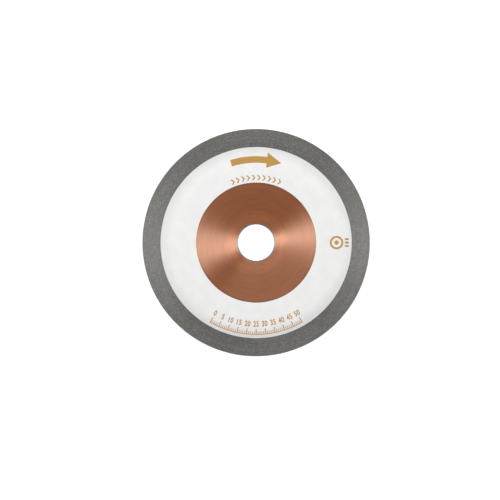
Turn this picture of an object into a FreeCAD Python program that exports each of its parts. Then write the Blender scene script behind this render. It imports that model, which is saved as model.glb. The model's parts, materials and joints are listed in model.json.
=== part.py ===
"""Thin cutting wheel with a cubic boron nitride rim, in millimetres.

The wheel lies flat, as it would on a bench. Its axis is Z, its marked face looks up, and
the origin is the centre of the bore at half the wheel's width.
"""

import FreeCAD, Part
import math
import os
from FreeCAD import Vector

# Wheel and bore
WHEEL_DIAMETER = 125.0
BORE_DIAMETER = 20.0
BORE_CHAMFER = 0.2

# Abrasive rim
RIM_DEPTH = 10.0
RIM_WIDTH = 1.5
RIM_EDGE_CHAMFER = 0.1

# Core, which stands back from the rim's faces by the relief on each side
SIDE_RELIEF = 0.1
SEAT_DIAMETER = 66.0
SEAT_CUT = 0.03

# Tongue on the core's edge, which the rim is pressed over
TONGUE_HEIGHT = 0.8
TONGUE_ROOT_WIDTH = 0.8
TONGUE_NOSE_WIDTH = 0.4

# White lacquer on both faces of the core, and the ink on its upper face
COAT_THICKNESS = 0.06
INK_THICKNESS = 0.012

# Marks, from the edges of the lacquer inwards
SCALE_EDGE_GAP = 1.8
SCALE_SPAN = 60.0
SCALE_DIVISIONS = 50
DIVISIONS_PER_NUMBER = 5
SCALE_LINE_WIDTH = 0.4
LONG_TICK_LENGTH = 2.9
SHORT_TICK_LENGTH = 1.5
LONG_TICK_WIDTH = 0.5
SHORT_TICK_WIDTH = 0.35
NUMBER_ROW_GAP = 1.1
NUMBER_HEIGHT = 3.2
NUMBER_WIDTH = 3.2

ARROW_EDGE_GAP = 2.6
ARROW_HEAD_HEIGHT = 8.4
ARROW_HEAD_LENGTH = 8.0
ARROW_SHAFT_HEIGHT = 3.6
ARROW_LENGTH = 28.0

CHEVRON_EDGE_GAP = 1.2
CHEVRON_HEIGHT = 3.0
CHEVRON_LENGTH = 2.1
CHEVRON_STROKE = 0.9
CHEVRON_PITCH = 2.9
CHEVRON_COUNT = 10

RING_EDGE_GAP = 4.6
RING_DIAMETER = 7.4
RING_LINE_WIDTH = 1.1
DOT_DIAMETER = 2.4
BAR_EDGE_GAP = 1.5
BAR_LENGTH = 2.2
BAR_HEIGHT = 1.0
BAR_PITCH = 1.9
BAR_COUNT = 3

# Where each mark stands round the wheel, in degrees from +X
ARROW_PLACE = 90.0
SCALE_PLACE = 270.0
RING_PLACE = 0.0

# Radii and heights that several pieces share
wheel_radius = WHEEL_DIAMETER / 2
bore_radius = BORE_DIAMETER / 2
joint_radius = wheel_radius - RIM_DEPTH
seat_radius = SEAT_DIAMETER / 2
rim_face = RIM_WIDTH / 2
core_face = rim_face - SIDE_RELIEF
seat_face = core_face - SEAT_CUT
coat_face = core_face + COAT_THICKNESS

AXIS = Vector(0, 0, 1)
ORIGIN = Vector(0, 0, 0)


def turned(points):
    """Solid of revolution about the wheel's axis from the (radius, height) corners of its section."""
    corners = [Vector(radius, 0, height) for radius, height in points]
    section = Part.Face(Part.makePolygon(corners + corners[:1]))
    return section.revolve(ORIGIN, AXIS, 360)


def both_halves(lower_half, middle):
    """Whole section from its lower half, what stands at half width, and the lower half mirrored."""
    upper_half = [(radius, -height) for radius, height in reversed(lower_half)]
    return lower_half + middle + upper_half


def tongue_outline():
    """Lower root, nose and upper root of the tongue, as (radius, height) points."""
    nose_radius = joint_radius + TONGUE_HEIGHT
    return [
        (joint_radius, -TONGUE_ROOT_WIDTH / 2),
        (nose_radius, -TONGUE_NOSE_WIDTH / 2),
        (nose_radius, TONGUE_NOSE_WIDTH / 2),
        (joint_radius, TONGUE_ROOT_WIDTH / 2),
    ]


def core_disc():
    """Steel core: bore, faced flange seats, thicker web and the tongue on its edge."""
    mouth_radius = bore_radius + BORE_CHAMFER
    wall_end = seat_face - BORE_CHAMFER
    lower_half = [
        (bore_radius, -wall_end),
        (mouth_radius, -seat_face),
        (seat_radius, -seat_face),
        (seat_radius, -core_face),
        (joint_radius, -core_face),
    ]
    return turned(both_halves(lower_half, tongue_outline()))


def abrasive_rim():
    """Abrasive ring, square in section, grooved inside to sit over the core's tongue."""
    face_end = wheel_radius - RIM_EDGE_CHAMFER
    edge_end = rim_face - RIM_EDGE_CHAMFER
    lower_half = [(wheel_radius, -edge_end), (face_end, -rim_face), (joint_radius, -rim_face)]
    return turned(both_halves(lower_half, tongue_outline()))


def coat(underside):
    """Flat ring of lacquer from the flange seat out to the rim, on the given height."""
    top = underside + COAT_THICKNESS
    corners = [(seat_radius, underside), (joint_radius, underside), (joint_radius, top), (seat_radius, top)]
    return turned(corners)


def inked(face):
    """Layer of ink on the upper lacquer, from a flat face drawn at the origin's height."""
    layer = face.extrude(Vector(0, 0, INK_THICKNESS))
    layer.translate(Vector(0, 0, coat_face))
    return layer


def polar(radius, angle):
    """Point in the plane at a radius and an angle in degrees."""
    turn = math.radians(angle)
    return Vector(radius * math.cos(turn), radius * math.sin(turn), 0)


def mark_edge(start, end):
    """Edge between two (radius, angle) points: an arc about the axis where the radius stays."""
    if start[0] != end[0]:
        return Part.LineSegment(polar(*start), polar(*end)).toShape()
    middle = polar(start[0], (start[1] + end[1]) / 2)
    return Part.Arc(polar(*start), middle, polar(*end)).toShape()


def mark_face(points):
    """Flat face inside a closed outline of (radius, angle) points."""
    following = points[1:] + points[:1]
    return Part.Face(Part.Wire([mark_edge(a, b) for a, b in zip(points, following)]))


def degrees_of(length, radius):
    """Angle that an arc of this length takes up at this radius."""
    return math.degrees(length / radius)


def block(middle_radius, height, place, width):
    """Piece of a ring with this height and width, centred on a radius and an angle."""
    half = degrees_of(width / 2, middle_radius)
    inner = middle_radius - height / 2
    outer = middle_radius + height / 2
    start = place - half
    end = place + half
    return mark_face([(inner, start), (inner, end), (outer, end), (outer, start)])


def row_places(middle_place, pitch, count):
    """Angles of a row of like marks, spread evenly about its middle."""
    first = middle_place - pitch * (count - 1) / 2
    return [first + pitch * n for n in range(count)]


def direction_arrow():
    """Curved arrow that points clockwise round the wheel."""
    middle = joint_radius - ARROW_EDGE_GAP - ARROW_HEAD_HEIGHT / 2
    tail = ARROW_PLACE + degrees_of(ARROW_LENGTH / 2, middle)
    tip = ARROW_PLACE - degrees_of(ARROW_LENGTH / 2, middle)
    neck = tip + degrees_of(ARROW_HEAD_LENGTH, middle)
    shaft_inner = middle - ARROW_SHAFT_HEIGHT / 2
    shaft_outer = middle + ARROW_SHAFT_HEIGHT / 2
    head_inner = middle - ARROW_HEAD_HEIGHT / 2
    head_outer = middle + ARROW_HEAD_HEIGHT / 2
    return mark_face(
        [
            (shaft_inner, tail),
            (shaft_outer, tail),
            (shaft_outer, neck),
            (head_outer, neck),
            (middle, tip),
            (head_inner, neck),
            (shaft_inner, neck),
        ]
    )


def chevron(middle_radius, place):
    """Small angled mark that points clockwise, for the row under the arrow."""
    inner = middle_radius - CHEVRON_HEIGHT / 2
    outer = middle_radius + CHEVRON_HEIGHT / 2
    back = place + degrees_of(CHEVRON_LENGTH / 2, middle_radius)
    stroke = degrees_of(CHEVRON_STROKE, middle_radius)
    tip = place - degrees_of(CHEVRON_LENGTH / 2, middle_radius)
    return mark_face(
        [
            (outer, back),
            (outer, back - stroke),
            (middle_radius, tip),
            (inner, back - stroke),
            (inner, back),
            (middle_radius, tip + stroke),
        ]
    )


def chevron_row():
    """Row of chevrons that follows the edge of the flange seat."""
    middle = seat_radius + CHEVRON_EDGE_GAP + CHEVRON_HEIGHT / 2
    places = row_places(ARROW_PLACE, degrees_of(CHEVRON_PITCH, middle), CHEVRON_COUNT)
    return [chevron(middle, place) for place in places]


def graduated_arc():
    """Line near the rim with long and short ticks that stand on it, as one face."""
    line_outer = joint_radius - SCALE_EDGE_GAP
    line_inner = line_outer - SCALE_LINE_WIDTH
    places = row_places(SCALE_PLACE, SCALE_SPAN / SCALE_DIVISIONS, SCALE_DIVISIONS + 1)
    outline = []
    for n, place in enumerate(places):
        is_long = n % DIVISIONS_PER_NUMBER == 0
        tip = line_inner - (LONG_TICK_LENGTH if is_long else SHORT_TICK_LENGTH)
        half = degrees_of((LONG_TICK_WIDTH if is_long else SHORT_TICK_WIDTH) / 2, line_inner)
        outline.append((line_inner, place - half))
        outline.append((tip, place - half))
        outline.append((tip, place + half))
        outline.append((line_inner, place + half))
    # The two end ticks run straight on to the line's outer edge
    outline[0] = (line_outer, outline[0][1])
    outline[-1] = (line_outer, outline[-1][1])
    return mark_face(outline)


def number_fields():
    """Plain blocks at the long ticks, where the scale's numbers stand."""
    tick_tips = joint_radius - SCALE_EDGE_GAP - SCALE_LINE_WIDTH - LONG_TICK_LENGTH
    middle = tick_tips - NUMBER_ROW_GAP - NUMBER_HEIGHT / 2
    step = SCALE_SPAN / SCALE_DIVISIONS * DIVISIONS_PER_NUMBER
    places = row_places(SCALE_PLACE, step, SCALE_DIVISIONS // DIVISIONS_PER_NUMBER + 1)
    return [block(middle, NUMBER_HEIGHT, place, NUMBER_WIDTH) for place in places]


def disc_face(radius, middle):
    """Flat round face."""
    return Part.Face(Part.Wire(Part.Circle(middle, AXIS, radius).toShape()))


def ring_and_dot():
    """Ring with a dot at its centre, on one side of the wheel."""
    middle = polar(joint_radius - RING_EDGE_GAP - RING_DIAMETER / 2, RING_PLACE)
    opening = disc_face(RING_DIAMETER / 2 - RING_LINE_WIDTH, middle)
    ring = disc_face(RING_DIAMETER / 2, middle).cut(opening)
    return ring.Faces + [disc_face(DOT_DIAMETER / 2, middle)]


def short_bars():
    """Short bars between the ring and the rim."""
    middle = joint_radius - BAR_EDGE_GAP - BAR_LENGTH / 2
    places = row_places(RING_PLACE, degrees_of(BAR_PITCH, middle), BAR_COUNT)
    return [block(middle, BAR_LENGTH, place, BAR_HEIGHT) for place in places]


def front_marking():
    """All the ink on the upper lacquer, as separate thin solids."""
    faces = [direction_arrow(), graduated_arc()]
    faces += chevron_row()
    faces += number_fields()
    faces += ring_and_dot()
    faces += short_bars()
    return Part.makeCompound([inked(face) for face in faces])


PIECES = {
    "core_disc": core_disc(),
    "abrasive_rim": abrasive_rim(),
    "front_coat": coat(core_face),
    "back_coat": coat(-coat_face),
    "front_marking": front_marking(),
}

os.makedirs("parts", exist_ok=True)
for name, shape in PIECES.items():
    shape.exportStep(os.path.join("parts", name + ".step"))
    solids = len(shape.Solids)
    print(f"{name}: {solids} solid(s), {shape.Volume:.2f} cubic mm, valid {shape.isValid()}")
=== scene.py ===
"""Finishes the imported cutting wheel: turned copper core, grit rim, white lacquer and printed marks.

Sizes are in metres, in the wheel's own frame: the origin is the centre of the bore at half
the wheel's width, and +Z comes out of the marked face.
"""

import json
import math
import random

import bmesh
import bpy
from bpy.props import FloatProperty, FloatVectorProperty, IntProperty, PointerProperty
from mathutils import Euler, Matrix, Vector, noise


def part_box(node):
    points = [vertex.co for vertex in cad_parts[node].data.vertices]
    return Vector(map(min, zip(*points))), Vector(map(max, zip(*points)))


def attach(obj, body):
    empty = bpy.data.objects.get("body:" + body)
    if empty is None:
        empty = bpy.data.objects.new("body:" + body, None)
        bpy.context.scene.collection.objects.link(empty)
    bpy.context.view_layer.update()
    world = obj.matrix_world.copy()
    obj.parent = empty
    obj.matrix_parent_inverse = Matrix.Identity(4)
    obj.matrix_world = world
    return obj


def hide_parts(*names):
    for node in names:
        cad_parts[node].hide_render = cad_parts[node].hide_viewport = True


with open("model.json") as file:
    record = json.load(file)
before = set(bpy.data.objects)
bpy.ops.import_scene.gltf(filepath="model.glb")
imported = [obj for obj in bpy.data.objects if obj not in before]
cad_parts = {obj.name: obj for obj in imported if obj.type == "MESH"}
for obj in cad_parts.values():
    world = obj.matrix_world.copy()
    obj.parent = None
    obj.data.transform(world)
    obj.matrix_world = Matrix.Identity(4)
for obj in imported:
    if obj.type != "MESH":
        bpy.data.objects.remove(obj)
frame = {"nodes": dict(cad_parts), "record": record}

bl_info = {
    "name": "Cutting Wheel Finisher",
    "version": (1, 0, 0),
    "blender": (4, 5, 0),
    "location": "3D View > Sidebar > Cutting Wheel",
    "description": "Builds the core, rim, lacquer and printed marks of a thin cutting wheel",
    "category": "Mesh",
}

MM = 0.001
FULL_TURN = 2 * math.pi
BOTTOM = math.radians(270)
SHARP_EDGE = math.radians(30)
WHEEL_AXIS = Vector((0, 0, 1))
CENTRE = Vector((0, 0, 0))
WHITE = (1, 1, 1, 1)
BODY = "root"
GRAIN_SHADE = "grain_shade"

# Corners of a shape that lie this close together are one corner
WELD = 0.002 * MM

# Most values of a noise texture lie between these
NOISE_LOW = 0.3
NOISE_HIGH = 0.7

# Share of a grain's size that its middle lies behind the rim's surface
GRAIN_SINK = 0.35

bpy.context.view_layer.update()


def ring_radii(node):
    """Smallest and largest distance of a CAD node's corners from the wheel's axis."""
    found = [vertex.co.xy.length for vertex in frame["nodes"][node].data.vertices]
    return min(found), max(found)


def mount_height(name):
    """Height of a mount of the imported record."""
    return next(mount["pos_m"][2] for mount in frame["record"]["mounts"] if mount["name"] == name)


BORE_RADIUS, TONGUE_RADIUS = ring_radii("core_disc")
SEAT_RADIUS, JOINT_RADIUS = ring_radii("front_coat")
WHEEL_RADIUS = ring_radii("abrasive_rim")[1]
SEAT_FACE = mount_height("front_flange_seat")
CORE_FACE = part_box("core_disc")[1].z
COAT_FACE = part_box("front_coat")[1].z
INK_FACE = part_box("front_marking")[1].z
RIM_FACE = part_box("abrasive_rim")[1].z


# Settings that a user would change


def length(name, default, description):
    """Length setting, in metres."""
    return FloatProperty(
        name=name, default=default, description=description, unit="LENGTH", precision=6
    )


def angle(name, degrees, description):
    """Angle setting, given in degrees."""
    return FloatProperty(
        name=name, default=math.radians(degrees), description=description, unit="ROTATION"
    )


def number(name, default, description):
    """Setting that is a plain number."""
    return FloatProperty(name=name, default=default, description=description, precision=3)


def whole(name, default, description):
    """Setting that is a whole number of things or pixels."""
    return IntProperty(name=name, default=default, description=description, min=1)


def colour(name, default, description):
    """Colour setting, with linear values."""
    return FloatVectorProperty(
        name=name, default=default, description=description, subtype="COLOR", size=3, min=0, max=1
    )


class WheelSizes(bpy.types.PropertyGroup):
    """Sizes of the core, rim and lacquer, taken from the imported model."""

    bore_radius: length("Bore radius", BORE_RADIUS, "Radius of the bore's wall")
    bore_chamfer: length("Bore chamfer", 0.2 * MM, "Width and depth of the bore's chamfers")
    seat_radius: length("Seat radius", SEAT_RADIUS, "Outer radius of the flange seats")
    joint_radius: length("Joint radius", JOINT_RADIUS, "Radius at which the rim begins")
    tongue_radius: length("Tongue radius", TONGUE_RADIUS, "Radius of the tongue's nose, inside the rim")
    tongue_root: length("Tongue root", 0.4 * MM, "Half the tongue's width at its root")
    tongue_nose: length("Tongue nose", 0.2 * MM, "Half the tongue's width at its nose")
    wheel_radius: length("Wheel radius", WHEEL_RADIUS, "Outer radius of the rim")
    rim_chamfer: length("Rim chamfer", 0.1 * MM, "Chamfer between the rim's faces and its cutting edge")
    seat_face: length("Seat face", SEAT_FACE, "Height of the flange seat")
    core_face: length("Core face", CORE_FACE, "Height of the core's face under the lacquer")
    coat_face: length("Lacquer face", COAT_FACE, "Height of the lacquer")
    rim_face: length("Rim face", RIM_FACE, "Height of the rim's face")
    edge_round: length("Edge round", 0.03 * MM, "Rounding of turned and lacquered edges")
    segments: whole("Segments", 384, "Facets round the turned pieces")


class GritSizes(bpy.types.PropertyGroup):
    """Sizes and numbers of the rim's grit."""

    grain_size: length("Grain size", 0.126 * MM, "Width of a grain")
    edge_setback: length("Edge setback", 0.045 * MM, "Depth of the bond behind the tips at the edge")
    face_setback: length("Face setback", 0.02 * MM, "Depth of the bond behind the tips on the faces")
    bond_pitch: length("Bond pitch", 0.7 * MM, "Distance between the high spots of the bond")
    rim_segments: whole("Rim segments", 1080, "Facets round the rim")
    face_rings: whole("Face rings", 20, "Rings of points added across each face of the rim")
    edge_rings: whole("Edge rings", 4, "Rings of points added across the cutting edge")
    edge_grains: whole("Edge grains", 6000, "Grains on the cutting edge")
    face_grains: whole("Face grains", 3600, "Grains on each face")
    crowding: number("Crowding", 1.5, "How closely the faces' grains crowd towards the cutting edge")
    grain_seed: whole("Grain seed", 126, "Start of the random draws that place the grains")


class MarkSizes(bpy.types.PropertyGroup):
    """Sizes of the printed marks, measured from the edges of the lacquer."""

    ink_face: length("Ink face", INK_FACE, "Height of the ink's upper surface")
    arrow_gap: length("Arrow gap", 2.6 * MM, "Gap from the rim to the arrow's head")
    arrow_length: length("Arrow length", 28 * MM, "Length of the arrow along its arc")
    head_height: length("Head height", 8.4 * MM, "Height of the arrow's head")
    head_length: length("Head length", 8 * MM, "Length of the arrow's head")
    shaft_height: length("Shaft height", 3.6 * MM, "Height of the arrow's shaft")
    chevron_gap: length("Chevron gap", 1.2 * MM, "Gap from the flange seat to the chevrons")
    chevron_height: length("Chevron height", 3 * MM, "Height of a chevron")
    chevron_length: length("Chevron length", 2.1 * MM, "Length of a chevron along its arc")
    chevron_stroke: length("Chevron stroke", 0.9 * MM, "Width of a chevron's stroke")
    chevron_pitch: length("Chevron pitch", 2.9 * MM, "Distance from one chevron to the next")
    chevrons: whole("Chevrons", 10, "Number of chevrons")
    scale_gap: length("Scale gap", 1.8 * MM, "Gap from the rim to the scale's line")
    scale_span: angle("Scale span", 60, "Angle from the first tick to the last")
    scale_line: length("Scale line", 0.4 * MM, "Width of the scale's line")
    long_tick: length("Long tick", 2.9 * MM, "Length of the numbered ticks")
    short_tick: length("Short tick", 1.5 * MM, "Length of the ticks between them")
    long_tick_width: length("Long tick width", 0.5 * MM, "Width of the numbered ticks")
    short_tick_width: length("Short tick width", 0.35 * MM, "Width of the ticks between them")
    divisions: whole("Divisions", 50, "Divisions of the scale")
    divisions_per_number: whole("Divisions per number", 5, "From number to number")
    number_gap: length("Number gap", 1.1 * MM, "Gap from the long ticks to the numbers")
    number_height: length("Number height", 3.2 * MM, "Height of the numbers")
    number_width: length("Number width", 3.2 * MM, "Width of the widest number")
    number_weight: number("Number weight", 0.032, "How far the numbers' outlines are set outwards")
    ring_gap: length("Ring gap", 4.6 * MM, "Gap from the rim to the ring")
    ring_diameter: length("Ring diameter", 7.4 * MM, "Outer diameter of the ring")
    ring_line: length("Ring line", 1.1 * MM, "Width of the ring's line")
    dot_diameter: length("Dot diameter", 2.4 * MM, "Diameter of the dot in the ring")
    bar_gap: length("Bar gap", 1.5 * MM, "Gap from the rim to the bars")
    bar_length: length("Bar length", 2.2 * MM, "Length of a bar")
    bar_height: length("Bar height", 1.0 * MM, "Height of a bar")
    bar_pitch: length("Bar pitch", 1.9 * MM, "Distance from one bar to the next")
    bars: whole("Bars", 3, "Number of bars")
    arrow_place: angle("Arrow place", 90, "Where the arrow stands round the wheel")
    scale_place: angle("Scale place", 270, "Where the scale stands round the wheel")
    ring_place: angle("Ring place", 0, "Where the ring stands round the wheel")


class WheelFinish(bpy.types.PropertyGroup):
    """Colours of the surfaces, and how they shine."""

    copper: colour("Copper", (0.362, 0.1125, 0.0405), "Turned copper plating")
    copper_gloss: colour("Copper gloss", (1.0, 0.88, 0.725), "Tint of the gloss on the copper")
    copper_metal: number("Copper metal", 0.3, "How far the copper shines as clean metal does")
    flank_slope: number("Flank slope", 0.16, "Slope of the turned lines' long flanks")
    rim_slope: number("Rim slope", 0.13, "Slope of the ground lines' long flanks on the rim")
    steel: colour("Steel", (0.3, 0.28, 0.25), "Bare steel of the bore's wall and chamfers")
    bond: colour("Bond", (0.096, 0.0925, 0.0855), "Resin bond of the rim")
    dark_grit: colour("Dark grit", (0.052, 0.05, 0.046), "Dark grains")
    pale_grit: colour("Pale grit", (0.235, 0.229, 0.21), "Pale grains")
    lacquer: colour("Lacquer", (0.777, 0.775, 0.77), "White lacquer")
    dusty_lacquer: colour("Dusty lacquer", (0.655, 0.656, 0.652), "Lacquer greyed by grinding dust")
    ink: colour("Ink", (0.44, 0.238, 0.036), "Gold-ochre ink")


class StageSettings(bpy.types.PropertyGroup):
    """Camera, lamps and floor, with the wheel's place in the photograph."""

    photo_width: whole("Photo width", 500, "Width of the photograph in pixels")
    centre_across: number("Centre across", 256.12, "Wheel's centre from the left side in pixels")
    centre_down: number("Centre down", 242.6, "Wheel's centre from the top in pixels")
    radius_in_photo: number("Radius in photo", 113.68, "Wheel's radius in pixels")
    camera_height: length("Camera height", 1.2, "Height of the camera over the wheel")
    softbox_distance: length("Softbox distance", 0.9, "Distance from the wheel to each side softbox")
    softbox_height: length("Softbox height", 0.5, "Height of each side softbox")
    softbox_elevation: angle("Softbox elevation", 56, "Height angle of each side softbox")
    right_turn: angle("Right turn", 4.5, "Angle of the right softbox about the wheel's axis")
    right_width: length("Right width", 0.34, "Width of the right softbox")
    right_radiance: number("Right radiance", 8.4, "Brightness of the right softbox")
    left_turn: angle("Left turn", 187.5, "Angle of the left softbox about the wheel's axis")
    left_width: length("Left width", 0.21, "Width of the left softbox")
    left_radiance: number("Left radiance", 9.5, "Brightness of the left softbox")
    fill_distance: length("Fill distance", 0.42, "Distance from the wheel to the fill lamp")
    fill_width: length("Fill width", 0.7, "Width of the fill lamp")
    fill_height: length("Fill height", 0.12, "Height of the fill lamp")
    fill_elevation: angle("Fill elevation", 60, "Height angle of the fill lamp")
    fill_turn: angle("Fill turn", 112, "Angle of the fill lamp about the wheel's axis")
    fill_radiance: number("Fill radiance", 3.45, "Brightness of the fill lamp")
    sky: number("Sky", 0.04, "Brightness of the studio above the wheel")
    horizon: number("Horizon", 1.0, "Brightness of the backdrop at the horizon")
    floor_albedo: number("Floor albedo", 0.6, "Reflectance of the floor")
    floor_glow: number("Floor glow", 0.64, "Backdrop light seen on the floor")
    floor_size: length("Floor size", 8.0, "Side of the floor")


# Shader nodes


def new_material(name):
    """Empty node material, and its node tree."""
    material = bpy.data.materials.new(name)
    material.use_nodes = True
    material.node_tree.nodes.clear()
    return material, material.node_tree


def add_node(tree, kind, values=None, **settings):
    """Adds a node with its options, and fills its inputs with values or other nodes' outputs."""
    node = tree.nodes.new(kind)
    for option, choice in settings.items():
        setattr(node, option, choice)
    for socket, value in (values or {}).items():
        if isinstance(value, bpy.types.NodeSocket):
            tree.links.new(value, node.inputs[socket])
        else:
            node.inputs[socket].default_value = value
    return node


def maths(tree, operation, first, second=0.0, clamp=False):
    """Output of a Math node."""
    values = {0: first, 1: second}
    return add_node(tree, "ShaderNodeMath", values, operation=operation, use_clamp=clamp).outputs[0]


def product(tree, first, *others):
    """Output with several values multiplied."""
    for other in others:
        first = maths(tree, "MULTIPLY", first, other)
    return first


def remap(tree, value, from_low, from_high, to_low=0.0, to_high=1.0, smooth=False):
    """Output of a Map Range node that stays between its ends."""
    ends = {"From Min": from_low, "From Max": from_high, "To Min": to_low, "To Max": to_high}
    kind = "SMOOTHSTEP" if smooth else "LINEAR"
    node = add_node(tree, "ShaderNodeMapRange", {"Value": value, **ends}, interpolation_type=kind)
    return node.outputs["Result"]


def uneven(tree, pattern, spread):
    """Tone of about one that follows a noise up and down by a spread."""
    return remap(tree, pattern, NOISE_LOW, NOISE_HIGH, 1 - spread, 1 + spread)


def clouds(tree, place, size, detail, roughness=0.5):
    """Noise with patches of about a size."""
    values = {"Vector": place, "Scale": 1 / size, "Detail": detail, "Roughness": roughness}
    return add_node(tree, "ShaderNodeTexNoise", values).outputs["Fac"]


def bumped(tree, height, distance=1.0, strength=1.0):
    """Normal that follows a height, which is in metres where the distance is one."""
    values = {"Height": height, "Distance": distance, "Strength": strength}
    return add_node(tree, "ShaderNodeBump", values).outputs[0]


def blend(tree, share, first, second, how="MIX"):
    """Colour between two colours, by a share from 0 to 1."""
    node = add_node(tree, "ShaderNodeMix", data_type="RGBA", blend_type=how)
    sockets = {"Factor_Float": share, "A_Color": first, "B_Color": second}
    for socket in node.inputs:
        value = sockets.get(socket.identifier)
        if value is None:
            continue
        if isinstance(value, bpy.types.NodeSocket):
            tree.links.new(value, socket)
        else:
            socket.default_value = value
    return next(socket for socket in node.outputs if socket.identifier == "Result_Color")


def shaded(tree, rgb, tone):
    """Colour made lighter or darker by a tone of about one."""
    grey = add_node(tree, "ShaderNodeCombineColor", {0: tone, 1: tone, 2: tone}).outputs[0]
    return blend(tree, 1.0, rgb, grey, how="MULTIPLY")


def opaque(rgb):
    """Colour setting with an alpha of one."""
    return (*rgb, 1.0)


def object_place(tree):
    """Output with the place on the piece, in metres."""
    return add_node(tree, "ShaderNodeTexCoord").outputs["Object"]


def wheel_polar(tree):
    """Distance from the wheel's axis, and the direction away from it as a vector of length one."""
    place = object_place(tree)
    flattened = {0: place, 1: (1, 1, 0)}
    flat = add_node(tree, "ShaderNodeVectorMath", flattened, operation="MULTIPLY").outputs[0]
    radius = add_node(tree, "ShaderNodeVectorMath", {0: flat}, operation="LENGTH").outputs["Value"]
    outwards = add_node(tree, "ShaderNodeVectorMath", {0: flat}, operation="NORMALIZE").outputs[0]
    return radius, outwards


def turning_lines(tree, radius, outwards, pitch, breaks):
    """Noise drawn out round the wheel, as a lathe leaves it: lines a pitch apart that fade in and out.

    The more breaks, the shorter the lines.
    """
    across = maths(tree, "DIVIDE", radius, pitch)
    raised = add_node(tree, "ShaderNodeCombineXYZ", {"Z": across}).outputs[0]
    scaled = {0: outwards, "Scale": breaks}
    along = add_node(tree, "ShaderNodeVectorMath", scaled, operation="SCALE").outputs[0]
    added = {0: along, 1: raised}
    place = add_node(tree, "ShaderNodeVectorMath", added, operation="ADD").outputs[0]
    return clouds(tree, place, size=1.0, detail=2.0)


def round_tangent(tree):
    """Tangent that runs round the wheel's axis."""
    return add_node(tree, "ShaderNodeTangent", direction_type="RADIAL", axis="Z").outputs[0]


def surface(tree, values):
    """Principled surface, joined to the material's output."""
    shader = add_node(tree, "ShaderNodeBsdfPrincipled", values).outputs[0]
    add_node(tree, "ShaderNodeOutputMaterial", {"Surface": shader})


def turned_copper(sizes, finish):
    """Copper plating, finely turned and dulled by handling, with bare steel round the bore."""
    material, tree = new_material("turned_copper")
    radius, outwards = wheel_polar(tree)
    fine = turning_lines(tree, radius, outwards, pitch=0.13 * MM, breaks=3.0)
    broad = turning_lines(tree, radius, outwards, pitch=1.1 * MM, breaks=1.2)

    # The copper is lightest next to the bore. Painted shade: it is darkest in the corner under the lacquer's
    # edge, where the lacquer's step shades it
    hub_end, middle_start, middle_tone = 14 * MM, 19 * MM, 0.78
    middle_end, border_start, border_lift = 27 * MM, 30.5 * MM, 0.05
    shade_start, shade_end = sizes.seat_radius - 0.8 * MM, sizes.seat_radius - 0.1 * MM
    corner_shade_tone = 0.6
    middle = remap(tree, radius, hub_end, middle_start, 1.0, middle_tone, smooth=True)
    border = remap(tree, radius, middle_end, border_start, 0.0, border_lift, smooth=True)
    # Painted shade: the copper is darker in the corner under the lacquer's edge
    corner = remap(tree, radius, shade_start, shade_end, 1.0, corner_shade_tone, smooth=True)
    toned = product(tree, maths(tree, "ADD", middle, border), corner)
    toned = product(tree, toned, uneven(tree, fine, spread=0.2), uneven(tree, broad, spread=0.07))
    copper = shaded(tree, opaque(finish.copper), toned)

    steel_edge, worn_ring = sizes.bore_radius + sizes.bore_chamfer, 1.2 * MM
    is_steel = remap(tree, radius, steel_edge, steel_edge + worn_ring, 1.0, 0.0)
    copper_roughness, steel_roughness = 0.375, 0.55
    line_depth = 0.004 * MM
    flank = maths(tree, "MULTIPLY", radius, finish.flank_slope)
    relief = maths(tree, "ADD", flank, maths(tree, "MULTIPLY", fine, line_depth))
    surface(
        tree,
        {
            "Base Color": blend(tree, is_steel, copper, opaque(finish.steel)),
            "Metallic": remap(tree, is_steel, 0.0, 1.0, finish.copper_metal, 1.0),
            "Roughness": remap(tree, is_steel, 0.0, 1.0, copper_roughness, steel_roughness),
            "Normal": bumped(tree, relief),
            "Tangent": round_tangent(tree),
            "Anisotropic": 0.94,
            "Anisotropic Rotation": 0.25,
            "IOR": 2.07,
            "Specular Tint": opaque(finish.copper_gloss),
        },
    )
    return material


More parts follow.
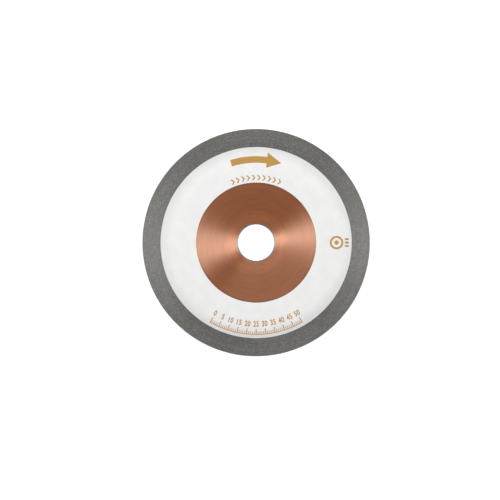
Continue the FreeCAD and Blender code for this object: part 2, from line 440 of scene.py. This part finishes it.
def grit_in_bond(sizes, grit, finish):
    """Grey resin bond full of dark and pale grains, with the faint rings of its dressing, painted shade
    towards the cutting edge and painted light in a slow tone over the rim.
    """
    material, tree = new_material("grit_in_bond")
    place = object_place(tree)
    radius, outwards = wheel_polar(tree)

    # Each cell is bond, dark grit or pale grit, by the number drawn for it
    spacing = 1.3
    cell = {"Vector": place, "Scale": 1 / (spacing * grit.grain_size), "Randomness": 1.0}
    grains = add_node(tree, "ShaderNodeTexVoronoi", cell, feature="F1")
    drawn = add_node(tree, "ShaderNodeSeparateColor", {"Color": grains.outputs["Color"]}).outputs[0]
    dark_below, pale_above, softness = 0.16, 0.84, 0.04
    is_dark = remap(tree, drawn, dark_below, dark_below + softness, 1.0, 0.0)
    is_pale = remap(tree, drawn, pale_above, pale_above + softness)
    base = blend(tree, is_dark, opaque(finish.bond), opaque(finish.dark_grit))
    base = blend(tree, is_pale, base, opaque(finish.pale_grit))

    mottle = clouds(tree, place, size=2.5 * MM, detail=3.0, roughness=0.6)
    dressing = turning_lines(tree, radius, outwards, pitch=0.8 * MM, breaks=1.2)
    crest = sizes.wheel_radius - 3 * MM
    inner_tone, crest_tone, edge_shade = 0.94, 1.06, 0.06
    rising = remap(tree, radius, sizes.joint_radius, crest, inner_tone, crest_tone)
    # Painted shade: the bond grows darker over the last 3 mm to the cutting edge
    painted_edge_shade = remap(tree, radius, crest, sizes.wheel_radius, 0.0, edge_shade)
    tone = product(tree, uneven(tree, mottle, spread=0.07), uneven(tree, dressing, spread=0.08))
    tone = product(tree, tone, slow_wear(tree, place), maths(tree, "SUBTRACT", rising, painted_edge_shade))

    grain_depth = 0.005 * MM
    flank = maths(tree, "MULTIPLY", radius, finish.rim_slope)
    pits = maths(tree, "MULTIPLY", grains.outputs["Distance"], grain_depth)
    surface(
        tree,
        {
            "Base Color": shaded(tree, base, tone),
            "Roughness": 0.5,
            "Normal": bumped(tree, maths(tree, "ADD", flank, pits)),
            "Tangent": round_tangent(tree),
            "Anisotropic": 0.8,
            "Anisotropic Rotation": 0.25,
            "Specular IOR Level": 0.72,
        },
    )
    return material


def slow_wear(tree, place):
    """Painted light: a tone that changes slowly over the rim, set so that the rim is paler at its upper left,
    where the lamps light it more, and darker near the bottom.
    """
    patch_size, pattern = 50 * MM, 24.0
    values = {"Vector": place, "W": pattern, "Scale": 1 / patch_size, "Detail": 1.0}
    light_pattern = add_node(tree, "ShaderNodeTexNoise", values, noise_dimensions="4D").outputs["Fac"]
    lowest, highest, dark_tone, pale_tone = 0.35, 0.61, 0.89, 1.17
    return remap(tree, light_pattern, lowest, highest, dark_tone, pale_tone)


def bare_grains(finish):
    """Grains that stand out of the bond, each of its own shade."""
    material, tree = new_material("bare_grains")
    shade = add_node(tree, "ShaderNodeAttribute", attribute_name=GRAIN_SHADE).outputs["Fac"]
    base = blend(tree, shade, opaque(finish.dark_grit), opaque(finish.pale_grit))
    surface(tree, {"Base Color": base, "Roughness": 0.35})
    return material


def white_lacquer(sizes, finish):
    """White lacquer of silk gloss with a faint orange peel, greyed by dust next to the rim."""
    material, tree = new_material("white_lacquer")
    place = object_place(tree)
    radius, outwards = wheel_polar(tree)
    dust_start = sizes.joint_radius - 7 * MM
    dust = remap(tree, radius, dust_start, sizes.joint_radius, 0.0, 1.0, smooth=True)
    streaks = turning_lines(tree, radius, outwards, pitch=1.2 * MM, breaks=1.5)
    thinnest_dust = 0.85
    dust = product(tree, dust, remap(tree, streaks, NOISE_LOW, NOISE_HIGH, thinnest_dust, 1.0))
    cloudy_low, cloudy_high, dullest = 0.35, 0.65, 0.25
    cloudy = clouds(tree, place, size=6 * MM, detail=3.0)
    dull = remap(tree, cloudy, cloudy_low, cloudy_high, dullest, 0.0)
    greyed = maths(tree, "ADD", dust, dull, clamp=True)
    base = blend(tree, greyed, opaque(finish.lacquer), opaque(finish.dusty_lacquer))
    peel = clouds(tree, place, size=0.7 * MM, detail=1.0)
    peel = bumped(tree, peel, distance=0.006 * MM, strength=0.5)
    surface(tree, {"Base Color": base, "Roughness": 0.38, "Normal": peel})
    return material


def printed_ink(finish):
    """Gold-ochre printing ink, slightly uneven."""
    material, tree = new_material("printed_ink")
    specks = clouds(tree, object_place(tree), size=0.35 * MM, detail=2.0)
    base = shaded(tree, opaque(finish.ink), uneven(tree, specks, spread=0.12))
    surface(tree, {"Base Color": base, "Roughness": 0.45})
    return material


# Shapes


def polar(radius, turn, height=0.0):
    """Point at a radius and an angle round the wheel."""
    return Vector((radius * math.cos(turn), radius * math.sin(turn), height))


def add_object(name, data):
    """New object in the scene, for a mesh, a text, a lamp or a camera."""
    added = bpy.data.objects.new(name, data)
    bpy.context.scene.collection.objects.link(added)
    return added


def mesh_of(name, shape):
    """Mesh made from a bmesh, which is freed."""
    mesh = bpy.data.meshes.new(name)
    shape.to_mesh(mesh)
    shape.free()
    return mesh


def finished_piece(name, shape, material, node):
    """Turns a bmesh into a finished piece that rides with the wheel and stands for a CAD node."""
    mesh = mesh_of(name, shape)
    mesh.materials.append(material)
    mesh.shade_smooth()
    mesh.set_sharp_from_angle(angle=SHARP_EDGE)
    piece = add_object(name, mesh)
    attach(piece, BODY)
    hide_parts(node)


def turned(corners, segments, cuts=None):
    """Shell turned about the wheel's axis from the (radius, height) corners of its section.

    cuts gives the number of points to add between a corner and the next, by the corner's number.
    One sector is spun, and copies of it make up the whole turn, which is quicker than a full spin.
    """
    sectors = 12
    shape = bmesh.new()
    points = [shape.verts.new((radius, 0, height)) for radius, height in corners]
    sides = [shape.edges.new((a, b)) for a, b in zip(points, points[1:] + points[:1])]
    for corner, count in (cuts or {}).items():
        bmesh.ops.subdivide_edges(shape, edges=[sides[corner]], cuts=count)
    sector = FULL_TURN / sectors
    about_axis = {"cent": CENTRE, "axis": WHEEL_AXIS}
    swept = {"angle": sector, "steps": segments // sectors}
    bmesh.ops.spin(shape, geom=shape.verts[:] + shape.edges[:], **swept, **about_axis)
    first_sector = shape.verts[:] + shape.edges[:] + shape.faces[:]
    rest = {"angle": FULL_TURN - sector, "steps": sectors - 1, "use_duplicate": True}
    bmesh.ops.spin(shape, geom=first_sector, **rest, **about_axis)
    bmesh.ops.remove_doubles(shape, verts=shape.verts, dist=WELD)
    bmesh.ops.recalc_face_normals(shape, faces=shape.faces)
    return shape


def both_halves(lower_half, middle):
    """Whole section from its lower half, what stands at half width, and the lower half mirrored."""
    upper_half = [(radius, -height) for radius, height in reversed(lower_half)]
    return lower_half + middle + upper_half


def round_edges(shape, corners, width):
    """Rounds the circular edges that run through the given (radius, height) corners."""
    near = 0.5 * width
    chosen = []
    for edge in shape.edges:
        start, end = ((vertex.co.xy.length, vertex.co.z) for vertex in edge.verts)
        for radius, height in corners:
            if all(abs(r - radius) < near and abs(z - height) < near for r, z in (start, end)):
                chosen.append(edge)
    bmesh.ops.bevel(shape, geom=chosen, offset=width, segments=3, profile=0.5, affect="EDGES", material=-1)


def tongue_section(sizes):
    """Section of the tongue and of the groove that takes it."""
    return [
        (sizes.joint_radius, -sizes.tongue_root),
        (sizes.tongue_radius, -sizes.tongue_nose),
        (sizes.tongue_radius, sizes.tongue_nose),
        (sizes.joint_radius, sizes.tongue_root),
    ]


class WHEEL_OT_turned_core(bpy.types.Operator):
    """Builds the turned steel core with its bore, flange seats and tongue"""

    bl_idname = "wheel.turned_core"
    bl_label = "Turned Core"

    def execute(self, context):
        sizes = context.scene.wheel_sizes
        mouth = (sizes.bore_radius + sizes.bore_chamfer, sizes.seat_face)
        wall_end = (sizes.bore_radius, sizes.seat_face - sizes.bore_chamfer)
        lower_half = [
            (wall_end[0], -wall_end[1]),
            (mouth[0], -mouth[1]),
            (sizes.seat_radius, -sizes.seat_face),
            (sizes.seat_radius, -sizes.core_face),
            (sizes.joint_radius, -sizes.core_face),
        ]
        shape = turned(both_halves(lower_half, tongue_section(sizes)), sizes.segments)
        mouths = [(mouth[0], side * mouth[1]) for side in (-1, 1)]
        round_edges(shape, mouths, sizes.edge_round)
        material = turned_copper(sizes, context.scene.wheel_finish)
        finished_piece("turned_core", shape, material, "core_disc")
        return {"FINISHED"}


def roughen(shape, grit, sizes):
    """Sinks the rim's outer surface unevenly behind the grains' tips, and leaves the joint as it is."""
    unevenness = 0.35
    joint_end = sizes.joint_radius + 0.01 * MM
    face_from = sizes.rim_face - 2 * sizes.rim_chamfer
    edge_from = sizes.wheel_radius - 2 * sizes.rim_chamfer
    for vertex in shape.verts:
        radius = vertex.co.xy.length
        on_surface = abs(vertex.co.z) > face_from or radius > edge_from
        if radius < joint_end or not on_surface:
            continue
        depth = 1 + unevenness * noise.noise(vertex.co / grit.bond_pitch)
        inwards = -vertex.normal * depth
        vertex.co.xy += inwards.xy * grit.edge_setback
        vertex.co.z += inwards.z * grit.face_setback


def grain_batch(rng, places, size):
    """Mesh with a blocky grain at each place, turned, stretched and shaded at random."""
    thin, thick = 0.55, 0.95
    shape = bmesh.new()
    shade = shape.verts.layers.float.new(GRAIN_SHADE)
    for place in places:
        turn = Euler([rng.uniform(0, FULL_TURN) for _ in range(3)]).to_matrix().to_4x4()
        stretch = Matrix.Diagonal([size * rng.uniform(thin, thick) for _ in range(3)] + [1])
        placed = Matrix.Translation(place) @ turn @ stretch
        grain = bmesh.ops.create_cube(shape, size=1, matrix=placed)
        drawn = rng.random()
        for vertex in grain["verts"]:
            vertex[shade] = drawn
    return mesh_of("grain_batch", shape)


def dress(shape, sizes):
    """Cuts the grains' tips level with the wheel's radius and faces."""
    for vertex in shape.verts:
        vertex.co.xy *= min(1, sizes.wheel_radius / vertex.co.xy.length)
        vertex.co.z = max(-sizes.rim_face, min(sizes.rim_face, vertex.co.z))


def edge_grain_places(rng, grit, sizes):
    """Places of the grains on the cutting edge."""
    radius = sizes.wheel_radius - GRAIN_SINK * grit.grain_size
    half_width = sizes.rim_face - sizes.rim_chamfer
    for _ in range(grit.edge_grains):
        yield polar(radius, rng.uniform(0, FULL_TURN), rng.uniform(-half_width, half_width))


def face_grain_places(rng, grit, sizes, side):
    """Places of the grains on one face, closest together near the cutting edge."""
    height = side * (sizes.rim_face - GRAIN_SINK * grit.grain_size)
    inner = sizes.joint_radius + grit.grain_size
    outer = sizes.wheel_radius - sizes.rim_chamfer
    for _ in range(grit.face_grains):
        radius = outer - (outer - inner) * rng.random() ** grit.crowding
        yield polar(radius, rng.uniform(0, FULL_TURN), height)


class WHEEL_OT_grit_rim(bpy.types.Operator):
    """Builds the abrasive rim: the bond, and the grains that stand out of it"""

    bl_idname = "wheel.grit_rim"
    bl_label = "Grit Rim"

    def execute(self, context):
        sizes = context.scene.wheel_sizes
        grit = context.scene.grit_sizes
        finish = context.scene.wheel_finish
        self.build_bond(sizes, grit, finish)
        self.build_grains(sizes, grit, finish)
        return {"FINISHED"}

    def build_bond(self, sizes, grit, finish):
        face_end = sizes.wheel_radius - sizes.rim_chamfer
        edge_end = sizes.rim_face - sizes.rim_chamfer
        lower_half = [
            (sizes.wheel_radius, -edge_end),
            (face_end, -sizes.rim_face),
            (sizes.joint_radius, -sizes.rim_face),
        ]
        section = both_halves(lower_half, tongue_section(sizes))
        lower_face, upper_face, cutting_edge = 1, len(section) - 3, len(section) - 1
        rings = grit.face_rings
        cuts = {lower_face: rings, upper_face: rings, cutting_edge: grit.edge_rings}
        shape = turned(section, grit.rim_segments, cuts)
        roughen(shape, grit, sizes)
        material = grit_in_bond(sizes, grit, finish)
        finished_piece("grit_rim", shape, material, "abrasive_rim")

    def build_grains(self, sizes, grit, finish):
        rng = random.Random(grit.grain_seed)
        places = list(edge_grain_places(rng, grit, sizes))
        places += face_grain_places(rng, grit, sizes, 1)
        places += face_grain_places(rng, grit, sizes, -1)
        batch_size = 100
        shape = bmesh.new()
        for start in range(0, len(places), batch_size):
            mesh = grain_batch(rng, places[start : start + batch_size], grit.grain_size)
            shape.from_mesh(mesh)
            bpy.data.meshes.remove(mesh)
        dress(shape, sizes)
        finished_piece("rim_grains", shape, bare_grains(finish), "abrasive_rim")


class WHEEL_OT_lacquer(bpy.types.Operator):
    """Builds the ring of white lacquer on each face of the core"""

    bl_idname = "wheel.lacquer"
    bl_label = "Lacquer"

    def execute(self, context):
        sizes = context.scene.wheel_sizes
        material = white_lacquer(sizes, context.scene.wheel_finish)
        coats = (("front_lacquer", "front_coat", 1), ("back_lacquer", "back_coat", -1))
        for name, node, side in coats:
            under = side * sizes.core_face
            over = side * sizes.coat_face
            section = [
                (sizes.seat_radius, under),
                (sizes.joint_radius, under),
                (sizes.joint_radius, over),
                (sizes.seat_radius, over),
            ]
            shape = turned(section, sizes.segments)
            round_edges(shape, section[2:], sizes.edge_round)
            finished_piece(name, shape, material, node)
        return {"FINISHED"}


# Printed marks


def arc_strip(shape, inner, outer, start, end, height):
    """Adds a flat piece of a ring by spinning a radial edge."""
    facets_per_turn = 240
    ends = [shape.verts.new(polar(radius, start, height)) for radius in (inner, outer)]
    steps = max(1, math.ceil((end - start) / FULL_TURN * facets_per_turn))
    geom = ends + [shape.edges.new(ends)]
    bmesh.ops.spin(shape, geom=geom, cent=CENTRE, axis=WHEEL_AXIS, angle=end - start, steps=steps)


def flat_piece(shape, corners, height):
    """Adds a flat face through a few (radius, angle) corners."""
    points = [shape.verts.new(polar(radius, turn, height)) for radius, turn in corners]
    bmesh.ops.contextual_create(shape, geom=points)


def block(shape, middle, tall, place, width, height):
    """Adds a small piece of a ring, centred on a radius and an angle."""
    half = 0.5 * width / middle
    arc_strip(shape, middle - 0.5 * tall, middle + 0.5 * tall, place - half, place + half, height)


def row_places(middle_place, pitch, count):
    """Angles of a row of like marks, spread evenly about its middle."""
    first = middle_place - pitch * (count - 1) / 2
    return [first + pitch * n for n in range(count)]


def thicken(shape, ink_depth):
    """Gives flat marks that lie on the lacquer the depth of the ink."""
    for face in shape.faces:
        if face.normal.z < 0:
            face.normal_flip()
    raised = bmesh.ops.extrude_face_region(shape, geom=shape.faces[:], use_keep_orig=True)
    tops = [item for item in raised["geom"] if isinstance(item, bmesh.types.BMVert)]
    bmesh.ops.translate(shape, verts=tops, vec=(0, 0, ink_depth))
    bmesh.ops.recalc_face_normals(shape, faces=shape.faces)


def printed_piece(name, shape, context):
    """Finishes a group of flat marks as ink on the front lacquer."""
    thicken(shape, context.scene.mark_sizes.ink_face - context.scene.wheel_sizes.coat_face)
    material = bpy.data.materials.get("printed_ink") or printed_ink(context.scene.wheel_finish)
    finished_piece(name, shape, material, "front_marking")


def add_arrow(shape, marks, joint, height):
    """Curved arrow that points clockwise round the wheel."""
    middle = joint - marks.arrow_gap - 0.5 * marks.head_height
    tail = marks.arrow_place + 0.5 * marks.arrow_length / middle
    tip = marks.arrow_place - 0.5 * marks.arrow_length / middle
    neck = tip + marks.head_length / middle
    half_shaft = 0.5 * marks.shaft_height
    half_head = 0.5 * marks.head_height
    arc_strip(shape, middle - half_shaft, middle + half_shaft, neck, tail, height)
    corners = [(middle - half_head, neck), (middle, tip), (middle + half_head, neck)]
    corners += [(middle + half_shaft, neck), (middle - half_shaft, neck)]
    flat_piece(shape, corners, height)
    bmesh.ops.remove_doubles(shape, verts=shape.verts, dist=WELD)


def add_chevrons(shape, marks, seat, height):
    """Row of chevrons that follows the edge of the flange seat and points clockwise."""
    middle = seat + marks.chevron_gap + 0.5 * marks.chevron_height
    inner = middle - 0.5 * marks.chevron_height
    outer = middle + 0.5 * marks.chevron_height
    stroke = marks.chevron_stroke / middle
    for place in row_places(marks.arrow_place, marks.chevron_pitch / middle, marks.chevrons):
        back = place + 0.5 * marks.chevron_length / middle
        tip = place - 0.5 * marks.chevron_length / middle
        for end in (inner, outer):
            corners = [(end, back), (end, back - stroke), (middle, tip), (middle, tip + stroke)]
            flat_piece(shape, corners, height)
    bmesh.ops.remove_doubles(shape, verts=shape.verts, dist=WELD)


class WHEEL_OT_direction_marks(bpy.types.Operator):
    """Prints the arrow and the row of chevrons that give the running direction"""

    bl_idname = "wheel.direction_marks"
    bl_label = "Direction Marks"

    def execute(self, context):
        sizes = context.scene.wheel_sizes
        marks = context.scene.mark_sizes
        shape = bmesh.new()
        add_arrow(shape, marks, sizes.joint_radius, sizes.coat_face)
        add_chevrons(shape, marks, sizes.seat_radius, sizes.coat_face)
        printed_piece("direction_marks", shape, context)
        return {"FINISHED"}


def add_scale(shape, marks, joint, height):
    """Line near the rim with long and short ticks that stand on it."""
    line_outer = joint - marks.scale_gap
    line_inner = line_outer - marks.scale_line
    overhang = 0.5 * marks.long_tick_width / line_inner
    first = marks.scale_place - 0.5 * marks.scale_span
    last = marks.scale_place + 0.5 * marks.scale_span
    arc_strip(shape, line_inner, line_outer, first - overhang, last + overhang, height)
    places = row_places(marks.scale_place, marks.scale_span / marks.divisions, marks.divisions + 1)
    for n, place in enumerate(places):
        is_long = n % marks.divisions_per_number == 0
        tall = marks.long_tick if is_long else marks.short_tick
        width = marks.long_tick_width if is_long else marks.short_tick_width
        block(shape, line_inner - 0.5 * tall, tall, place, width, height)


def set_outwards(shape, distance):
    """Moves a flat shape's outline outwards, and merges the edges that a tight corner turns back."""
    before = shape.verts.layers.float_vector.new("before")
    for vertex in shape.verts:
        vertex[before] = vertex.co
    outset = {"thickness": -distance, "use_boundary": True, "use_even_offset": True}
    margin = bmesh.ops.inset_region(shape, faces=shape.faces, **outset)["faces"]
    bmesh.ops.delete(shape, geom=margin, context="FACES")
    turned_back = []
    for edge in shape.edges:
        start, end = edge.verts
        if edge.is_boundary and (end.co - start.co).dot(end[before] - start[before]) < 0:
            turned_back.append(edge)
    bmesh.ops.collapse(shape, edges=turned_back)
    shape.verts.layers.float_vector.remove(before)


def number_mesh(text, weight):
    """Flat mesh of a number about its own centre, with its foot towards -Y.

    It is in the font's own units, in which a line of text is one unit high.
    """
    same_point = 0.004
    curve = bpy.data.curves.new("number", "FONT")
    curve.body = text
    curve.space_character = 1.08
    curve.fill_mode = "NONE"
    curve.resolution_u = 8
    holder = add_object("number", curve)
    bpy.context.view_layer.update()
    mesh = bpy.data.meshes.new_from_object(holder)
    bpy.data.objects.remove(holder)
    bpy.data.curves.remove(curve)
    shape = bmesh.new()
    shape.from_mesh(mesh)
    bmesh.ops.remove_doubles(shape, verts=shape.verts, dist=same_point)
    bmesh.ops.triangle_fill(shape, edges=shape.edges, normal=WHEEL_AXIS, use_dissolve=True)
    set_outwards(shape, weight)
    shape.to_mesh(mesh)
    shape.free()
    low, high = flat_box(mesh)
    mesh.transform(Matrix.Translation(-(low + high) / 2))
    return mesh


def flat_box(mesh):
    """Lowest and highest corner of a flat mesh."""
    across = [vertex.co.x for vertex in mesh.vertices]
    up = [vertex.co.y for vertex in mesh.vertices]
    return Vector((min(across), min(up), 0)), Vector((max(across), max(up), 0))


def add_numbers(shape, marks, joint, height):
    """Numbers at the long ticks, all of one size, upright at the middle of the scale."""
    tick_tips = joint - marks.scale_gap - marks.scale_line - marks.long_tick
    middle = tick_tips - marks.number_gap - 0.5 * marks.number_height
    step = marks.scale_span / marks.divisions * marks.divisions_per_number
    labels = [str(n) for n in range(0, marks.divisions + 1, marks.divisions_per_number)]
    numbers = [number_mesh(label, marks.number_weight) for label in labels]
    corners = [flat_box(mesh)[1] for mesh in numbers]
    across = 0.5 * marks.number_width / max(corner.x for corner in corners)
    up = 0.5 * marks.number_height / max(corner.y for corner in corners)
    sized = Matrix.Diagonal((across, up, 1, 1))
    for mesh, place in zip(numbers, row_places(marks.scale_place, step, len(labels))):
        upright = Matrix.Rotation(place - BOTTOM, 4, WHEEL_AXIS)
        mesh.transform(Matrix.Translation(polar(middle, place, height)) @ upright @ sized)
        shape.from_mesh(mesh)
        bpy.data.meshes.remove(mesh)


class WHEEL_OT_scale_marks(bpy.types.Operator):
    """Prints the graduated arc and its plain numbers"""

    bl_idname = "wheel.scale_marks"
    bl_label = "Scale Marks"

    def execute(self, context):
        sizes = context.scene.wheel_sizes
        marks = context.scene.mark_sizes
        shape = bmesh.new()
        add_scale(shape, marks, sizes.joint_radius, sizes.coat_face)
        add_numbers(shape, marks, sizes.joint_radius, sizes.coat_face)
        printed_piece("scale_marks", shape, context)
        return {"FINISHED"}


def add_ring_and_dot(shape, marks, joint, height):
    """Ring with a dot at its centre."""
    ring_radius = 0.5 * marks.ring_diameter
    middle = polar(joint - marks.ring_gap - ring_radius, marks.ring_place, height)
    circle = {"segments": 64, "matrix": Matrix.Translation(middle)}
    edges = []
    for radius in (ring_radius, ring_radius - marks.ring_line):
        made = bmesh.ops.create_circle(shape, radius=radius, **circle)
        edges += {edge for vertex in made["verts"] for edge in vertex.link_edges}
    bmesh.ops.bridge_loops(shape, edges=edges)
    bmesh.ops.create_circle(shape, cap_ends=True, radius=0.5 * marks.dot_diameter, **circle)


def add_bars(shape, marks, joint, height):
    """Short bars between the ring and the rim."""
    middle = joint - marks.bar_gap - 0.5 * marks.bar_length
    for place in row_places(marks.ring_place, marks.bar_pitch / middle, marks.bars):
        block(shape, middle, marks.bar_length, place, marks.bar_height, height)


class WHEEL_OT_ring_mark(bpy.types.Operator):
    """Prints the ring, its dot and the short bars beside it"""

    bl_idname = "wheel.ring_mark"
    bl_label = "Ring Mark"

    def execute(self, context):
        sizes = context.scene.wheel_sizes
        marks = context.scene.mark_sizes
        shape = bmesh.new()
        add_ring_and_dot(shape, marks, sizes.joint_radius, sizes.coat_face)
        add_bars(shape, marks, sizes.joint_radius, sizes.coat_face)
        printed_piece("ring_mark", shape, context)
        return {"FINISHED"}


# Stage


def add_floor(stage, height):
    """Pale floor that shows as the white backdrop and keeps the wheel's shadow."""
    shape = bmesh.new()
    bmesh.ops.create_grid(shape, x_segments=1, y_segments=1, size=0.5 * stage.floor_size)
    bmesh.ops.translate(shape, verts=shape.verts, vec=(0, 0, height))
    floor = add_object("floor", mesh_of("floor", shape))
    material, tree = new_material("floor_paper")
    grey = opaque([stage.floor_albedo] * 3)
    paper = add_node(tree, "ShaderNodeBsdfDiffuse", {"Color": grey}).outputs[0]
    path = add_node(tree, "ShaderNodeLightPath").outputs
    seen = maths(tree, "ADD", path["Is Camera Ray"], path["Is Glossy Ray"])
    seen = maths(tree, "ADD", seen, path["Is Transmission Ray"], clamp=True)
    away = wheel_polar(tree)[0]
    glow_start, glow_end = 0.2, 0.8
    glow = remap(tree, away, glow_start, glow_end, stage.floor_glow, 1.0, smooth=True)
    light = {"Color": WHITE, "Strength": product(tree, seen, glow)}
    backdrop = add_node(tree, "ShaderNodeEmission", light).outputs[0]
    both = add_node(tree, "ShaderNodeAddShader", {0: paper, 1: backdrop}).outputs[0]
    add_node(tree, "ShaderNodeOutputMaterial", {"Surface": both})
    floor.data.materials.append(material)


def set_world(stage):
    """Studio that is white at the horizon and dim overhead."""
    world = bpy.data.worlds.new("studio")
    bpy.context.scene.world = world
    world.use_nodes = True
    tree = world.node_tree
    tree.nodes.clear()
    direction = add_node(tree, "ShaderNodeTexCoord").outputs["Generated"]
    up = add_node(tree, "ShaderNodeSeparateXYZ", {"Vector": direction}).outputs["Z"]
    horizon_top, sky_start = 0.1, 0.22
    level = remap(tree, up, horizon_top, sky_start, stage.horizon, stage.sky, smooth=True)
    light = add_node(tree, "ShaderNodeBackground", {"Color": WHITE, "Strength": level}).outputs[0]
    add_node(tree, "ShaderNodeOutputWorld", {"Surface": light})


def add_softbox(name, width, height, distance, elevation, turn, radiance):
    """Soft lamp that looks at the wheel, at a height angle and an angle round the wheel."""
    lamp = bpy.data.lights.new(name, "AREA")
    lamp.shape = "RECTANGLE"
    lamp.size = width
    lamp.size_y = height
    lamp.energy = math.pi * width * height * radiance
    holder = add_object(name, lamp)
    away = polar(math.cos(elevation), turn, math.sin(elevation))
    holder.location = away * distance
    holder.rotation_euler = away.to_track_quat("Z", "Y").to_euler()
    holder.visible_camera = False


def add_camera(stage, wheel_radius):
    """Camera that looks straight down, with the wheel where the photograph has it."""
    metres_per_pixel = wheel_radius / stage.radius_in_photo
    half_photo = stage.photo_width / 2
    lens = bpy.data.cameras.new("camera")
    lens.sensor_width = 36
    lens.lens = lens.sensor_width * stage.camera_height / (stage.photo_width * metres_per_pixel)
    camera = add_object("camera", lens)
    across = (half_photo - stage.centre_across) * metres_per_pixel
    up = (stage.centre_down - half_photo) * metres_per_pixel
    camera.location = (across, up, stage.camera_height)
    bpy.context.scene.camera = camera


class WHEEL_OT_stage(bpy.types.Operator):
    """Sets up the floor, the studio light and the camera"""

    bl_idname = "wheel.stage"
    bl_label = "Stage"

    def execute(self, context):
        stage = context.scene.stage_settings
        sizes = context.scene.wheel_sizes
        add_floor(stage, -sizes.rim_face)
        set_world(stage)
        tall, far, up = stage.softbox_height, stage.softbox_distance, stage.softbox_elevation
        add_softbox("softbox_right", stage.right_width, tall, far, up, stage.right_turn, stage.right_radiance)
        add_softbox("softbox_left", stage.left_width, tall, far, up, stage.left_turn, stage.left_radiance)
        tall, far, up = stage.fill_height, stage.fill_distance, stage.fill_elevation
        add_softbox("fill", stage.fill_width, tall, far, up, stage.fill_turn, stage.fill_radiance)
        add_camera(stage, sizes.wheel_radius)
        context.scene.view_settings.view_transform = "Standard"
        return {"FINISHED"}


STEPS = (
    WHEEL_OT_turned_core,
    WHEEL_OT_grit_rim,
    WHEEL_OT_lacquer,
    WHEEL_OT_direction_marks,
    WHEEL_OT_scale_marks,
    WHEEL_OT_ring_mark,
    WHEEL_OT_stage,
)


class WHEEL_PT_panel(bpy.types.Panel):
    """Lists the steps that build the wheel"""

    bl_idname = "WHEEL_PT_panel"
    bl_label = "Cutting Wheel"
    bl_space_type = "VIEW_3D"
    bl_region_type = "UI"
    bl_category = "Cutting Wheel"

    def draw(self, context):
        for step in STEPS:
            self.layout.operator(step.bl_idname)


SETTINGS = {
    "wheel_sizes": WheelSizes,
    "grit_sizes": GritSizes,
    "mark_sizes": MarkSizes,
    "wheel_finish": WheelFinish,
    "stage_settings": StageSettings,
}


def register():
    """Registers the settings, the steps and the panel."""
    for name, group in SETTINGS.items():
        bpy.utils.register_class(group)
        setattr(bpy.types.Scene, name, PointerProperty(type=group))
    for step in STEPS:
        bpy.utils.register_class(step)
    bpy.utils.register_class(WHEEL_PT_panel)


def unregister():
    """Takes back what register did, in reverse."""
    bpy.utils.unregister_class(WHEEL_PT_panel)
    for step in reversed(STEPS):
        bpy.utils.unregister_class(step)
    for name, group in reversed(SETTINGS.items()):
        delattr(bpy.types.Scene, name)
        bpy.utils.unregister_class(group)


def main():
    """Builds the wheel and its stage."""
    register()
    bpy.ops.wheel.turned_core()
    bpy.ops.wheel.grit_rim()
    bpy.ops.wheel.lacquer()
    bpy.ops.wheel.direction_marks()
    bpy.ops.wheel.scale_marks()
    bpy.ops.wheel.ring_mark()
    bpy.ops.wheel.stage()


if __name__ == "__main__":
    main()
